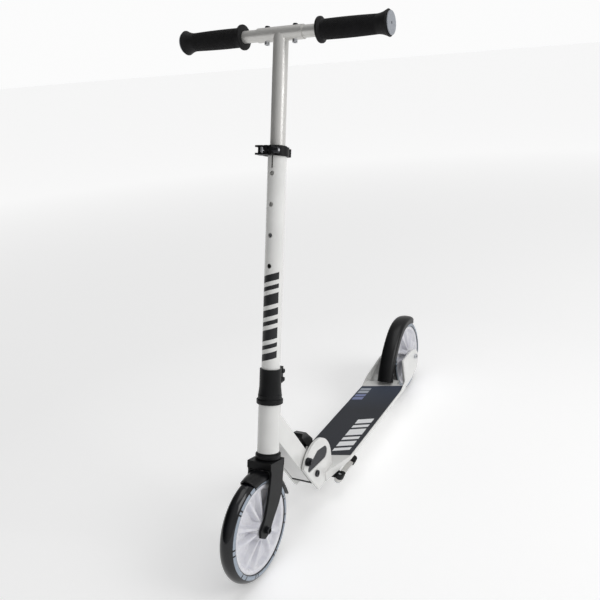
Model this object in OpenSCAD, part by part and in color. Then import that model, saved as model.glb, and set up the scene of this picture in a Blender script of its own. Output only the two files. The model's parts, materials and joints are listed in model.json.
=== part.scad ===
// Folding kick scooter with large wheels, a telescopic steering column,
// a rear mudguard brake and a side kickstand.
// Frame: +Z up, forward is -Y, the rider's left is +X.
// The origin is on the ground, below the middle of the scooter's footprint.

/* [Wheels] */
// Outside diameter of both tyres
wheel_d = 200; // [160:1:230]
// Width of the tyre
tyre_w = 30; // [24:1:34]
// Diameter of the core that the tyre is moulded on
core_d = 165; // [120:1:190]
// Diameter of both wheel axles
axle_d = 8; // [6:0.5:10]
// Distance between the two axles
wheelbase = 786; // [700:1:900]
// Outside diameter of the wheel bearings
bearing_d = 22; // [19:1:26]
// Width of one wheel bearing
bearing_w = 7; // [5:0.5:9]

/* [Steering] */
// Tilt of the steering axis from upright
head_angle = 15.7; // [10:0.1:20]
// Distance of the front axle ahead of the steering axis
fork_offset = 38.5; // [30:0.5:45]
// Height of the fork crown's top above the axle, along the steering axis
crown_top = 121; // [112:1:135]
// Outside diameter of the fork's steerer tube
steerer_d = 31.6; // [28:0.1:32]
// Length of the head tube
head_tube_len = 92; // [80:1:110]
// Outside diameter of the head tube
head_tube_d = 42; // [40:0.5:46]
// Thickness of each fork leg
fork_plate = 5; // [4:0.5:7]
// Clear width between the fork legs
fork_gap = 42; // [40:1:50]

/* [Column and bar] */
// Outside diameter of the lower column tube
lower_tube_d = 35; // [34:0.5:38]
// Inside diameter of the lower column tube
lower_tube_bore = 31.7; // [31:0.1:33]
// Outside diameter of the upper column tube
upper_tube_d = 28; // [24:0.5:29]
// Wall of the upper column tube
upper_tube_wall = 2; // [1.5:0.1:3]
// Top of the lower column above the axle, along the steering axis
lower_tube_top = 702; // [640:1:760]
// Height of the bar above the axle, along the steering axis
bar_height = 904; // [850:1:960]
// Distance between two height holes
hole_pitch = 56.3; // [45:0.1:70]
// Distance from the lower column's top to its first height hole
hole_first = 48.5; // [40:0.5:60]
// Outside diameter of the sleeve across the column's top
sleeve_d = 26; // [25:0.5:32]
// Length of that sleeve
sleeve_len = 94; // [80:1:120]
// Outside diameter of the handle tubes
handle_d = 22.2; // [20:0.1:23]
// Distance from one grip's end to the other's
bar_width = 428; // [380:1:520]
// Length of one grip, with its flange
grip_len = 136; // [110:1:150]
// Diameter of the grip's flange and of its flared end
grip_flange_d = 45.4; // [38:0.2:50]

/* [Frame and deck] */
// Thickness of the down tube, seen from the side
down_tube_t = 40; // [34:1:46]
// Width of the down tube
down_tube_w = 41; // [36:1:41]
// Fold pivot's place behind the front axle
pivot_y = 192; // [180:1:210]
// Height of the fold pivot above the ground
pivot_z = 98; // [90:1:110]
// Diameter of the fold pivot bolt
pivot_d = 8; // [6:0.5:10]
// Radius of the fold side plates' round top
hump_r = 62; // [56:1:66]
// Thickness of a fold side plate
side_plate = 6; // [4:0.5:8]
// Width of the deck
deck_w = 112; // [100:1:140]
// Height of the deck's top above the ground
deck_top = 77; // [70:1:90]
// Height of the deck section
deck_h = 21; // [18:1:26]
// Distance of the deck's front edge behind the front axle
deck_front = 306; // [290:1:320]
// Distance from the deck board's rear end to the rear axle
deck_to_axle = 134; // [128:1:160]
// Wall of the deck section
deck_wall = 2.5; // [2:0.1:4]
// Thickness of the grip tape
tape_t = 1; // [0.6:0.1:1.5]
// Thickness of a rear side plate
rear_plate = 5; // [4:0.5:7]
// Clear width between the rear side plates at the wheel
rear_gap = 62; // [56:1:70]

/* [Brake and kickstand] */
// Outside radius of the rear mudguard above the wheel
guard_r = 112; // [108:1:120]
// Width of the rear mudguard
guard_w = 42; // [38:1:46]
// Wall of both mudguards
guard_wall = 2.4; // [2:0.1:3]
// Diameter of the brake's pivot pin
brake_pin_d = 6; // [5:0.5:8]
// Length of the kickstand leg from its bolt to its foot
stand_len = 76; // [60:1:84]
// Angle of the kickstand's bolt above the ground
stand_tilt = 65; // [60:1:75]

/* [Hidden] */
$fn = 64;

// Radial clearance of a running fit
run_gap = 0.05;
// Radial clearance of a bolt in its hole
bolt_gap = 0.2;
// Side gap between pieces that move past each other
side_gap = 0.5;
// A little more than zero, so that cuts pass right through
cut = 1;

wheel_r = wheel_d / 2;
core_r = core_d / 2;
// The frame's Y origin is the middle of the footprint, so the front axle lies ahead of it
front_y = -wheelbase / 2;
rear_y = wheelbase / 2;
steer_y = front_y + fork_offset * cos(head_angle);
steer_z = wheel_r - fork_offset * sin(head_angle);

// Pieces along the steering axis, from the crown upwards
ring_h = 12.5;
head_bottom = crown_top + ring_h + side_gap;
head_top = head_bottom + head_tube_len;
cover_bottom = head_top + side_gap;
cover_h = 18;
clamp_bottom = cover_bottom + cover_h;
clamp_h = 48;
clamp_top = clamp_bottom + clamp_h;
steerer_top = clamp_top - 8;
column_bottom = clamp_bottom + 6;
steerer_wall = 2.8;
headset_bearing_h = 8;
headset_bearing_d = head_tube_d - 3;

// ---------- helpers ----------

// Places what is drawn about the steering axis: Z runs up it, -Y forward, 0 level with the axle
module steering() {
    translate([0, steer_y, steer_z]) rotate([-head_angle, 0, 0]) children();
}

// Extrudes a Y-Z outline along X, from x0 for a thickness of t
module along_x(x0, t) {
    translate([x0, 0, 0]) rotate([90, 0, 90]) linear_extrude(t) children();
}

// A round bar along X, centred on x = 0 unless x0 is given
module bar_x(d, len, x0 = undef) {
    start = is_undef(x0) ? -len / 2 : x0;
    translate([start, 0, 0]) rotate([0, 90, 0]) cylinder(d = d, h = len);
}

// Turns a profile of radius and X about the X axis, from angle a0 to a1: 0 is up, 90 is rearward
module about_x(a0, a1) {
    rotate([0, -90, 0]) rotate([0, 0, a0]) rotate_extrude(angle = a1 - a0, $fn = 128) children();
}

module full_about_x() {
    rotate([0, -90, 0]) rotate_extrude($fn = 128) children();
}

// A tube along Z
module tube(od, id, h) {
    difference() {
        cylinder(d = od, h = h);
        translate([0, 0, -cut]) cylinder(d = id, h = h + 2 * cut);
    }
}

// A bar along Z with rounded edges at both ends
module round_disc(d, h, r) {
    rotate_extrude() {
        square([d / 2 - r, h]);
        translate([0, r]) square([d / 2, h - 2 * r]);
        translate([d / 2 - r, r]) circle(r, $fn = 24);
        translate([d / 2 - r, h - r]) circle(r, $fn = 24);
    }
}

// A hexagon nut or head along X
module hex_x(across, len, x0) {
    translate([x0, 0, 0]) rotate([0, 90, 0]) cylinder(d = across / cos(30), h = len, $fn = 6);
}

// ---------- wheels ----------

hub_d = 36;
hub_w = 38;
core_w = 27;
rim_t = 3.5;
web_t = 7;
rib_pairs = 5;

module core() {
    difference() {
        full_about_x() {
            translate([core_r - rim_t, -core_w / 2]) square([rim_t, core_w]);
            polygon([[core_r - rim_t, core_w / 2 - 1], [core_r - rim_t - 6, web_t / 2],
                [core_r - rim_t - 6, -web_t / 2], [core_r - rim_t, 1 - core_w / 2]]);
            translate([bearing_d / 2 - 2, -web_t / 2]) square([core_r - bearing_d / 2, web_t]);
            translate([bearing_d / 2 - 2, -hub_w / 2]) square([hub_d / 2 - bearing_d / 2 + 2, hub_w]);
        }
        bar_x(bearing_d, bearing_w, hub_w / 2 - bearing_w);
        bar_x(bearing_d, bearing_w, -hub_w / 2);
    }
    for (k = [0 : rib_pairs - 1], s = [-1, 1])
        rotate([k * 360 / rib_pairs + s * 14, 0, 0]) core_rib();
}

// One radial rib that runs from the hub to the rim on both sides of the web
module core_rib() {
    rib_t = 3;
    along_x(-9, 18)
        translate([-rib_t / 2, hub_d / 2 - 1]) square([rib_t, core_r - hub_d / 2 - rim_t + 1]);
}

module tyre() {
    crown = tyre_w / 2;
    full_about_x() difference() {
        union() {
            translate([wheel_r - crown, 0]) circle(crown, $fn = 64);
            translate([core_r - 2, 1 - crown]) square([wheel_r - crown - core_r + 2, tyre_w - 2]);
        }
        translate([core_r - 40, -tyre_w]) square([40, 2 * tyre_w]);
    }
}

module bearing_pair() {
    for (x0 = [hub_w / 2 - bearing_w, -hub_w / 2]) difference() {
        bar_x(bearing_d, bearing_w, x0);
        bar_x(axle_d + 2 * run_gap, bearing_w + 2 * cut, x0 - cut);
    }
    // The spacer tube between the two inner rings
    difference() {
        bar_x(axle_d + 5, hub_w - 2 * bearing_w);
        bar_x(axle_d + 2 * run_gap, hub_w);
    }
}

module at_front_axle() { translate([0, front_y, wheel_r]) children(); }
module at_rear_axle() { translate([0, rear_y, wheel_r]) children(); }

module front_core() { color("whitesmoke") at_front_axle() core(); }
module front_tyre() { color("#15151a") at_front_axle() tyre(); }
module front_bearings() { color("silver") at_front_axle() bearing_pair(); }
module rear_core() { color("whitesmoke") at_rear_axle() core(); }
module rear_tyre() { color("#15151a") at_rear_axle() tyre(); }
module rear_bearings() { color("silver") at_rear_axle() bearing_pair(); }

// ---------- fork ----------

fork_x = fork_gap / 2 + fork_plate;
crown_h = 14;
crown_front = -31;
crown_back = 17;
leg_end_r = 15;

// The fork leg's side outline, Y rearward and Z up the steering axis
module leg_outline() {
    polygon([[crown_front, crown_top], [crown_back, crown_top], [14, crown_top - 35],
        [12, 57], [2, 36], [-9, 21], [-20, 5], [-fork_offset + 12, -9],
        [-fork_offset - 4, -leg_end_r - 1], [-fork_offset - 19, -9], [-fork_offset - 20, 4],
        [-fork_offset - 7, 21], [-37, 46], [-31.5, 72], [-28, 100]]);
}

module fork() {
    color("#1b1b1d") steering() {
        difference() {
            union() {
                for (x0 = [-fork_x, fork_x - fork_plate]) along_x(x0, fork_plate) leg_outline();
                along_x(-fork_x, 2 * fork_x) polygon([[crown_front, crown_top],
                    [crown_back, crown_top], [crown_back, crown_top - crown_h],
                    [crown_front, crown_top - crown_h]]);
                cylinder(d = steerer_d, h = steerer_top);
            }
            translate([0, 0, -cut]) cylinder(d = steerer_d - 2 * steerer_wall, h = steerer_top + 2 * cut);
            translate([-fork_gap / 2, -80, -cut])
                cube([fork_gap, 160, crown_top - crown_h + cut]);
            translate([0, -fork_offset, 0]) bar_x(axle_d + 2 * bolt_gap, 4 * fork_x);
        }
    }
}

module front_axle() {
    color("#2a2a2c") steering() translate([0, -fork_offset, 0]) {
        bar_x(axle_d, 2 * fork_x + 5, -fork_x - 1);
        bar_x(13, 4, -fork_x - 4);
    }
}

module front_axle_nut() {
    color("#2a2a2c") steering() translate([0, -fork_offset, 0]) difference() {
        union() {
            bar_x(15, 1, fork_x);
            hex_x(12, 5, fork_x + 1);
        }
        bar_x(axle_d, 20, fork_x - cut);
    }
}

module spacer_pair(gap) {
    spacer_len = gap / 2 - hub_w / 2 - side_gap;
    for (x0 = [-gap / 2, gap / 2 - spacer_len]) difference() {
        bar_x(axle_d + 4, spacer_len, x0);
        bar_x(axle_d + 2 * bolt_gap, spacer_len + 2 * cut, x0 - cut);
    }
}

module front_spacers() { color("silver") at_front_axle() spacer_pair(fork_gap); }
module rear_spacers() { color("silver") at_rear_axle() spacer_pair(rear_gap); }

// ---------- mudguards ----------

// Points of an arch of half width w that rises from radius r0 by rise. A power of 1 is a half
// ellipse, and a smaller one is flatter on top with squarer shoulders.
function arch(w, rise, r0, power, n = 14) =
    [for (i = [0 : n]) let (a = 180 * i / n) [r0 + rise * pow(sin(a), power), -w * cos(a)]];

// The wall of an arched mudguard, top of the arch at radius r
module arch_wall(r, w, rise, power, inset = 0) {
    outer = arch(w / 2 - inset, rise - inset, r - rise + inset, power);
    inner = arch(w / 2 - guard_wall + inset, rise - guard_wall + inset, r - rise + inset, power);
    polygon(concat(outer, [for (i = [len(inner) - 1 : -1 : 0]) inner[i]]));
}

// A mudguard of an arc about the axle and a straighter tail that leaves it at angle a_join.
// The tail starts a little inside the arc and is a hair thinner, so that the two are one piece.
module guard_arc(r, w, rise, power, a_free, a_join, tail_r, tail_a) {
    hair = 0.05;
    s = sign(a_join - a_free);
    tail_start = a_join - s * 0.8;
    tail_end = a_join + s * tail_a;
    about_x(min(a_free, a_join), max(a_free, a_join)) arch_wall(r, w, rise, power);
    translate([0, -(tail_r - r) * sin(a_join), -(tail_r - r) * cos(a_join)])
        about_x(min(tail_start, tail_end), max(tail_start, tail_end)) arch_wall(tail_r, w, rise, power, hair);
}

front_guard_r = crown_top - crown_h - 0.2;
front_guard_w = fork_gap - 1;

module front_mudguard() {
    color("#1b1b1d") steering() translate([0, -fork_offset, 0])
        guard_arc(front_guard_r - 1, front_guard_w, 14, 0.85, -19, 40, 180, 22);
}

// ---------- headset, clamp and lower column ----------

module lower_headset_ring() {
    color("#1b1b1d") steering() translate([0, 0, crown_top]) difference() {
        union() {
            round_disc(head_tube_d + 6, ring_h - 3, 1.5);
            cylinder(d = head_tube_d + 1, h = ring_h);
        }
        translate([0, 0, -cut]) cylinder(d = steerer_d, h = ring_h + 2 * cut);
    }
}

module headset_bearings() {
    color("silver") steering() for (z0 = [head_bottom, head_top - headset_bearing_h])
        translate([0, 0, z0]) tube(headset_bearing_d, steerer_d + 2 * run_gap, headset_bearing_h);
}

module head_tube() {
    color("whitesmoke") steering() translate([0, 0, head_bottom]) difference() {
        cylinder(d = head_tube_d, h = head_tube_len);
        translate([0, 0, -cut]) cylinder(d = steerer_d + 4, h = head_tube_len + 2 * cut);
        translate([0, 0, -cut]) cylinder(d = headset_bearing_d, h = headset_bearing_h + cut);
        translate([0, 0, head_tube_len - headset_bearing_h])
            cylinder(d = headset_bearing_d, h = headset_bearing_h + cut);
    }
}

module upper_headset_cover() {
    color("#1b1b1d") steering() translate([0, 0, cover_bottom]) difference() {
        union() {
            round_disc(head_tube_d + 8, 9, 1.5);
            translate([0, 0, 7]) round_disc(head_tube_d + 3, cover_h - 7, 1.5);
        }
        translate([0, 0, -cut]) cylinder(d = steerer_d, h = cover_h + 2 * cut);
    }
}

clamp_d = lower_tube_d + 6;
clamp_lug_y = 27;
clamp_bolt_d = 5;

module clamp_bolt_places() {
    for (z0 = [clamp_bottom + 24, clamp_bottom + 40]) translate([0, clamp_lug_y, z0]) children();
}

module lower_clamp() {
    slit = 3;
    color("#1b1b1d") steering() difference() {
        union() {
            translate([0, 0, clamp_bottom]) cylinder(d1 = head_tube_d + 2, d2 = clamp_d, h = 14);
            translate([0, 0, clamp_bottom + 14]) cylinder(d = clamp_d, h = clamp_h - 14);
            translate([-8, 0, clamp_bottom + 16])
                cube([16, clamp_lug_y + 6, clamp_h - 16]);
        }
        translate([0, 0, clamp_bottom - cut]) cylinder(d = steerer_d, h = clamp_h);
        translate([0, 0, column_bottom]) cylinder(d = lower_tube_d, h = clamp_h);
        translate([-slit / 2, 0, clamp_bottom + 10]) cube([slit, 60, clamp_h]);
        clamp_bolt_places() bar_x(clamp_bolt_d + 2 * bolt_gap, 60);
    }
}

module clamp_bolts() {
    color("#2a2a2c") steering() clamp_bolt_places() {
        bar_x(clamp_bolt_d, 21, -9);
        difference() {
            bar_x(9, 5, 8);
            hex_x(4, 4, 10);
        }
    }
}

hole_count = 4;
column_hole_d = 9;
slit_w = 3;
slit_len = 37;

module lower_column() {
    color("whitesmoke") steering() difference() {
        translate([0, 0, column_bottom]) tube(lower_tube_d, lower_tube_bore, lower_tube_top - column_bottom);
        for (k = [0 : hole_count - 1])
            translate([0, 0, lower_tube_top - hole_first - k * hole_pitch])
                rotate([90, 0, 0]) cylinder(d = column_hole_d, h = lower_tube_d);
        translate([-slit_w / 2, -lower_tube_d, lower_tube_top - slit_len])
            cube([slit_w, lower_tube_d, slit_len + cut]);
        translate([0, 0, lower_tube_top - slit_len])
            rotate([90, 0, 0]) cylinder(d = slit_w + 1.5, h = lower_tube_d);
    }
}

module height_bush() {
    bush_len = 34;
    lip = 2;
    color("#1b1b1d") steering() translate([0, 0, lower_tube_top]) {
        tube(lower_tube_d - 0.6, upper_tube_d + 2 * run_gap, lip);
        translate([0, 0, -bush_len])
            tube(lower_tube_bore - 2 * run_gap, upper_tube_d + 2 * run_gap, bush_len);
    }
}

// ---------- quick release ----------

qr_h = 17;
qr_top = lower_tube_top - 0.3;
qr_wall = 4;
qr_lug_y = -28;
qr_lug_x = 7.5;
qr_barrel_x = -15;
cam_r = 5.7;
skewer_d = 5;
arm_r = lower_tube_d / 2 + 6.5;
arm_t = 4;

module qr_height() { translate([0, 0, qr_top - qr_h]) children(); }

module qr_collar() {
    color("#1b1b1d") steering() qr_height() difference() {
        union() {
            cylinder(d = lower_tube_d + 2 * qr_wall, h = qr_h);
            translate([-qr_lug_x, qr_lug_y - 6, 0]) cube([2 * qr_lug_x, 20, qr_h]);
        }
        translate([0, 0, -cut]) cylinder(d = lower_tube_d, h = qr_h + 2 * cut);
        translate([-slit_w / 2, -60, -cut]) cube([slit_w, 60, qr_h + 2 * cut]);
        translate([0, qr_lug_y, qr_h / 2]) bar_x(skewer_d + 2 * bolt_gap, 60);
    }
}

module qr_skewer() {
    color("silver") steering() qr_height() translate([0, qr_lug_y, 0]) {
        translate([0, 0, qr_h / 2]) bar_x(skewer_d, 20 - qr_barrel_x, qr_barrel_x);
        translate([qr_barrel_x, 0, 0.5]) cylinder(d = 7, h = qr_h - 1);
    }
}

module qr_nut() {
    color("#9a9a9e") steering() qr_height() translate([0, qr_lug_y, qr_h / 2]) difference() {
        union() {
            bar_x(12, 1.5, qr_lug_x);
            bar_x(11, 10, qr_lug_x + 1.5);
        }
        bar_x(skewer_d, 30, qr_lug_x - cut);
    }
}

module qr_lever() {
    cheek = 3.4;
    tip_a = 58;
    color("#1b1b1d") steering() qr_height() difference() {
        union() {
            // The two cheeks of the hub
            for (z0 = [0, qr_h - cheek]) translate([qr_barrel_x, qr_lug_y, z0]) {
                cylinder(r = cam_r, h = cheek);
                translate([-12, -cam_r, 0]) cube([12, 2 * cam_r, cheek]);
            }
            // The web that joins the cheeks to the arm
            translate([qr_barrel_x - 12, qr_lug_y + cam_r - 2.5, 0]) cube([9, 9, qr_h]);
            // The arm, bent round the column
            rotate([0, 0, tip_a]) rotate_extrude(angle = 230 - tip_a)
                translate([arm_r, 1]) square([arm_t, qr_h - 2]);
            // The rounded tip
            rotate([0, 0, tip_a]) translate([arm_r + arm_t / 2, 0, 1]) cylinder(d = arm_t, h = qr_h - 2);
        }
        translate([qr_barrel_x, qr_lug_y, -cut]) cylinder(d = 7 + 2 * run_gap, h = qr_h + 2 * cut);
        translate([0, 0, -cut]) cylinder(r = arm_r - 1.5, h = qr_h + 2 * cut);
        translate([qr_barrel_x - 17, qr_lug_y, -cut]) cylinder(d = 13, h = qr_h + 2 * cut);
    }
}

// ---------- upper column and handlebar ----------

plug_h = 16;
upper_bottom = lower_tube_top - hole_first - 2 * hole_pitch - 40;
button_z = lower_tube_top - hole_first - 2 * hole_pitch;
button_d = 7.5;

module at_bar() { steering() translate([0, 0, bar_height]) children(); }

module upper_column() {
    color("#b9bcc0") steering() difference() {
        union() {
            translate([0, 0, upper_bottom]) cylinder(d = upper_tube_d, h = bar_height - upper_bottom - 2);
            translate([0, 0, bar_height]) bar_x(sleeve_d, sleeve_len);
        }
        translate([0, 0, upper_bottom - cut])
            cylinder(d = upper_tube_d - 2 * upper_tube_wall, h = bar_height - upper_bottom - sleeve_d / 2);
        translate([0, 0, bar_height]) bar_x(handle_d, sleeve_len + 2 * cut);
        translate([0, 0, bar_height]) bolt_places() translate([0, 0, -30]) cylinder(d = 5.4, h = 60);
        translate([0, 0, button_z]) rotate([90, 0, 0]) cylinder(d = button_d + 2 * run_gap, h = 30);
    }
}

module guide_plug() {
    color("#2a2a2c") steering() translate([0, 0, upper_bottom - plug_h / 2]) {
        tube(lower_tube_bore - 2 * run_gap, 18, plug_h / 2);
        tube(upper_tube_d - 2 * upper_tube_wall, 18, plug_h);
    }
}

module bolt_places() {
    for (x = [-29, 29]) translate([x, 0, 0]) children();
}

module handle_tubes() {
    color("#b9bcc0") at_bar() for (s = [-1, 1]) difference() {
        bar_x(handle_d, bar_width / 2 - 8, s > 0 ? 4 : -bar_width / 2 + 4);
        bar_x(handle_d - 4, bar_width + 20);
        bolt_places() translate([0, 0, -30]) cylinder(d = 5.4, h = 60);
    }
}

module handle_bolts() {
    color("#2a2a2c") at_bar() bolt_places() {
        translate([0, 0, -sleeve_d / 2 - 4]) cylinder(d = 5, h = sleeve_d + 4);
        // The head's underside follows the sleeve
        difference() {
            translate([0, 0, sleeve_d / 2 - 1]) round_disc(9.5, 3.5, 1.2);
            bar_x(sleeve_d, 30);
        }
    }
}

module handle_nuts() {
    color("#9a9a9e") at_bar() bolt_places() translate([0, 0, -sleeve_d / 2 - 5]) difference() {
        cylinder(d = 9.5, h = 6);
        translate([0, 0, -cut]) cylinder(d = 5, h = 20);
        // The nut is hollowed where it seats on the sleeve
        translate([0, 0, 5 + sleeve_d / 2]) bar_x(sleeve_d, 30);
    }
}

grip_r = 17.4;
flange_t = 7;

// A grip from its flange at x = 0 to its flared end
module grip(len) {
    end_r = grip_flange_d / 2;
    waist = grip_r - 1;
    difference() {
        rotate([0, 90, 0]) rotate_extrude() polygon(concat(
            [[0, 0], [end_r - 1.5, 0], [end_r, 1.5], [end_r, flange_t - 2], [end_r - 2, flange_t]],
            [for (i = [0 : 8]) let (u = i / 8)
                [grip_r + 0.8 * sin(180 * u) - (grip_r - waist) * u, flange_t + (len - 30) * u]],
            [for (i = [1 : 6]) let (u = i / 6)
                [waist + (end_r - waist) * (1 - cos(90 * u)), len - 23 + 20 * u]],
            [[end_r - 1.5, len - 1.5], [end_r - 3, len - 1.5], [0, len - 1.5]]));
        bar_x(handle_d, 2 * len, -cut);
    }
}

module grip_left() {
    color("#161618") at_bar() translate([bar_width / 2 - grip_len, 0, 0]) grip(grip_len);
}

module grip_right() {
    color("#161618") at_bar() mirror([1, 0, 0]) translate([bar_width / 2 - grip_len, 0, 0]) grip(grip_len);
}

module grip_end_caps() {
    cap_t = 1.5;
    color("#8d9096") at_bar() for (s = [0, 1]) mirror([s, 0, 0]) difference() {
        union() {
            bar_x(grip_flange_d - 6, cap_t, bar_width / 2 - cap_t);
            bar_x(handle_d - 4, 10, bar_width / 2 - cap_t - 10);
        }
        bar_x(5, 20, bar_width / 2 - 8);
    }
}

button_in = 0.3;

// The button stands behind its hole in the lower column, its face just inside the wall
module snap_button() {
    tip = lower_tube_bore / 2 - button_in;
    color("silver") steering() translate([0, 0, button_z]) rotate([90, 0, 0]) difference() {
        union() {
            cylinder(d = button_d, h = tip - 2);
            translate([0, 0, tip - 2]) cylinder(d1 = button_d, d2 = button_d - 3, h = 2);
            translate([0, 0, 8]) cylinder(d = button_d + 2, h = 1.2);
        }
        translate([0, 0, -cut]) cylinder(d = 5, h = 7 + cut);
    }
}

// The coil spring behind the button, drawn as a row of rings on a post
module button_spring() {
    back = upper_tube_d / 2 - upper_tube_wall;
    color("silver") steering() translate([0, 0, button_z]) rotate([90, 0, 0]) {
        translate([0, 0, 0.05 - back]) cylinder(d = 2.2, h = back);
        for (k = [0 : 5]) translate([0, 0, 1 - back + k * 1.9])
            rotate_extrude() translate([1.7, 0]) circle(0.6, $fn = 16);
    }
}

// ---------- fold joint ----------

plate_in = down_tube_w / 2 + 3;
plate_x = plate_in + side_plate;
hump_shift = 8;
nose_bottom = deck_top - deck_h;
tube_angle = 58.3;
// Place of the lock pin about the pivot
lock_a = 124;
lock_r = 58;
lock_d = 8;

module at_pivot() { translate([0, front_y + pivot_y, pivot_z]) children(); }

// Places what is drawn along the down tube: +Y up the tube from the pivot, +Z out of its front face
module along_tube() { at_pivot() rotate([180 - tube_angle, 0, 0]) children(); }

// A fold side plate's outline, about the pivot: round above and behind, cut off along the tube
module fold_plate_outline() {
    difference() {
        union() {
            translate([hump_shift, hump_shift]) circle(hump_r, $fn = 96);
            translate([-20, nose_bottom - pivot_z])
                square([20 + hump_shift + hump_r, pivot_z - nose_bottom + hump_shift]);
        }
        // The front edge runs down in line with the down tube's front face
        rotate(180 - tube_angle) translate([-2 * hump_r, down_tube_t / 2])
            square([4 * hump_r, 2 * hump_r]);
        translate([-2 * hump_r, nose_bottom - pivot_z - 2 * hump_r]) square([4 * hump_r, 2 * hump_r]);
        // The window that the dark insert fills
        window_outline(0);
    }
}

// The teardrop window: wide above the deck and narrow at the front
module window_outline(gap) {
    hull() {
        translate([-24, 26]) circle(7.5 - gap, $fn = 32);
        translate([14, 32]) circle(14 - gap, $fn = 32);
        translate([40, 26]) circle(14 - gap, $fn = 32);
    }
}

module fold_plate(x0) {
    at_pivot() difference() {
        along_x(x0, side_plate) fold_plate_outline();
        bar_x(pivot_d + 2 * bolt_gap, 200);
        // The lock pin's hole, in the left plate only
        rotate([lock_a, 0, 0]) translate([0, lock_r, 0]) bar_x(lock_d + 2 * bolt_gap, 100, 0);
    }
}

module fold_plate_left() { color("whitesmoke") fold_plate(plate_in); }
module fold_plate_right() { color("whitesmoke") fold_plate(-plate_x); }

module fold_inserts() {
    insert_t = side_plate - 1.5;
    color("#4a4c50") at_pivot() for (x0 = [plate_in, -plate_in - insert_t])
        along_x(x0, insert_t) window_outline(0.1);
}

module pivot_bolt() {
    color("#2a2a2c") at_pivot() {
        bar_x(pivot_d, 2 * plate_x + 6, -plate_x - 3);
        difference() {
            bar_x(14, 4, plate_x);
            hex_x(5, 4, plate_x + 2);
        }
    }
}

module pivot_nut() {
    color("#2a2a2c") at_pivot() difference() {
        hex_x(13, 6, -plate_x - 6);
        bar_x(pivot_d, 40, -plate_x - 20);
    }
}

module at_lock() {
    at_pivot() rotate([lock_a, 0, 0]) translate([0, lock_r, 0]) children();
}

// The lock pin and its black pull knob, in the left side plate
module lock_pin() {
    color("#1b1b1d") at_lock() {
        bar_x(lock_d, side_plate + 5, plate_in);
        bar_x(17, 9, plate_x);
        bar_x(11, 12, plate_x);
    }
}

tube_end_r = 14;
bumper_t = 5;

// The bumper bar lies across the front edge of the side plates, just below the tube's end
module bumper_bar() {
    color("#1b1b1d") along_tube()
        translate([-plate_in, -4 - bumper_t, tube_end_r + 1.5]) cube([2 * plate_in, bumper_t, 5]);
}

// ---------- down tube ----------

tube_wall = 2.5;
// Length of the solid end that carries the pivot
tube_solid = 72;
// Long enough to reach past the head tube, which then cuts it to length
down_tube_len = 250;
lever_y = 46;
lever_z = -down_tube_t / 2 - 8;
lever_pin_d = 4;

// The down tube's side outline, along the tube: Y up from the pivot, Z to the front
module down_tube_outline(gap) {
    circle(tube_end_r - gap);
    translate([0, gap - down_tube_t / 2]) square([down_tube_len, down_tube_t - 2 * gap]);
}

module down_tube() {
    ear_t = 3;
    color("whitesmoke") difference() {
        union() {
            along_tube() along_x(-down_tube_w / 2, down_tube_w) down_tube_outline(0);
            // Ears for the fold lever's pin
            along_tube() for (x0 = [-15, 15 - ear_t]) along_x(x0, ear_t)
                translate([lever_y - 6, lever_z - 5]) square([12, 5 + down_tube_t / 2 + lever_z + 28]);
        }
        // Hollow above the solid end that carries the pivot
        along_tube() along_x(-down_tube_w / 2 + tube_wall, down_tube_w - 2 * tube_wall)
            translate([tube_solid, tube_wall - down_tube_t / 2])
                square([down_tube_len, down_tube_t - 2 * tube_wall]);
        // The head tube's seat, and all that would stand inside or ahead of it
        steering() translate([0, 0, head_bottom - 60]) cylinder(d = head_tube_d, h = head_tube_len + 120);
        steering() translate([0, 0, head_bottom - 60]) cylinder(d = head_tube_d + 14, h = 60);
        steering() translate([-50, -100, head_bottom - 60]) cube([100, 100, head_tube_len + 200]);
        steering() translate([-50, -10, head_top]) cube([100, 100, 100]);
        along_tube() bar_x(pivot_d + 8, 200);
        along_tube() translate([0, lever_y, lever_z]) bar_x(lever_pin_d, 60);
    }
}

module pivot_bushes() {
    color("#2a2a2c") at_pivot() for (x0 = [-down_tube_w / 2, 0]) difference() {
        bar_x(pivot_d + 8, down_tube_w / 2, x0);
        bar_x(pivot_d + 2 * run_gap, 60, x0 - cut);
    }
}

module lever_pin() {
    color("silver") along_tube() translate([0, lever_y, lever_z]) bar_x(lever_pin_d, 32);
}

// The thumb lever behind the down tube
module fold_lever() {
    lever_w = 2 * (15 - 3 - side_gap);
    color("#1b1b1d") along_tube() difference() {
        along_x(-lever_w / 2, lever_w) union() {
            translate([lever_y, lever_z]) circle(6);
            polygon([[lever_y - 6, lever_z], [lever_y - 20, lever_z - 8],
                [lever_y - 20, lever_z - 20], [lever_y - 8, lever_z - 30],
                [lever_y + 28, lever_z - 25], [lever_y + 39, lever_z - 15],
                [lever_y + 36, lever_z - 7], [lever_y + 6, lever_z - 6]]);
        }
        translate([0, lever_y, lever_z]) bar_x(lever_pin_d + 2 * run_gap, 60);
    }
}

// ---------- deck ----------

deck_rear = wheelbase - deck_to_axle;
edge_h = 9;
keel_w = 76;
nose_root = 226;

// The deck's outline across, X and Z
module deck_outline() {
    polygon([[-deck_w / 2, deck_top], [deck_w / 2, deck_top], [deck_w / 2, deck_top - edge_h],
        [keel_w / 2, nose_bottom], [-keel_w / 2, nose_bottom], [-deck_w / 2, deck_top - edge_h]]);
}

// Extrudes an X-Z outline along Y, from y0 behind the front axle for a length
module along_y(y0, len) {
    translate([0, front_y + y0 + len, 0]) rotate([90, 0, 0]) linear_extrude(len) children();
}

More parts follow.
